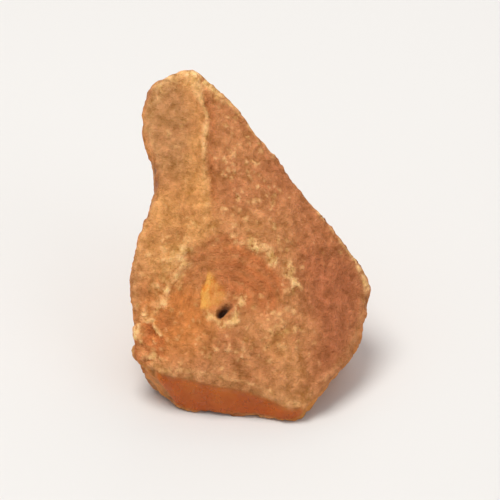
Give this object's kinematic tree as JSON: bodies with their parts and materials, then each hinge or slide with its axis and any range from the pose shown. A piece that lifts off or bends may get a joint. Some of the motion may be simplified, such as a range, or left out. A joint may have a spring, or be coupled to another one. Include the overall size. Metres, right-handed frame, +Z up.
{
  "type": "raw amber piece",
  "caption": "Rough teardrop-shaped lump of raw amber with a weathered crust, resting on a flat break with its broad face sloping up.",
  "frame": {"origin": "middle of the lump's footprint box, on the table under it", "axes": "+Z up; the broad face slopes up towards +Y and looks towards -Y and up; the narrow neck is at +Y, a little to -X"},
  "size_m": [0.0272, 0.034, 0.0272],
  "materials": {
    "amber": "waxy, satin, mottled orange-brown weathering crust over see-through amber, glossier on the fresh break"
  },
  "bodies": {
    "root": {"amber_nugget": "amber"}
  },
  "joints": []
}
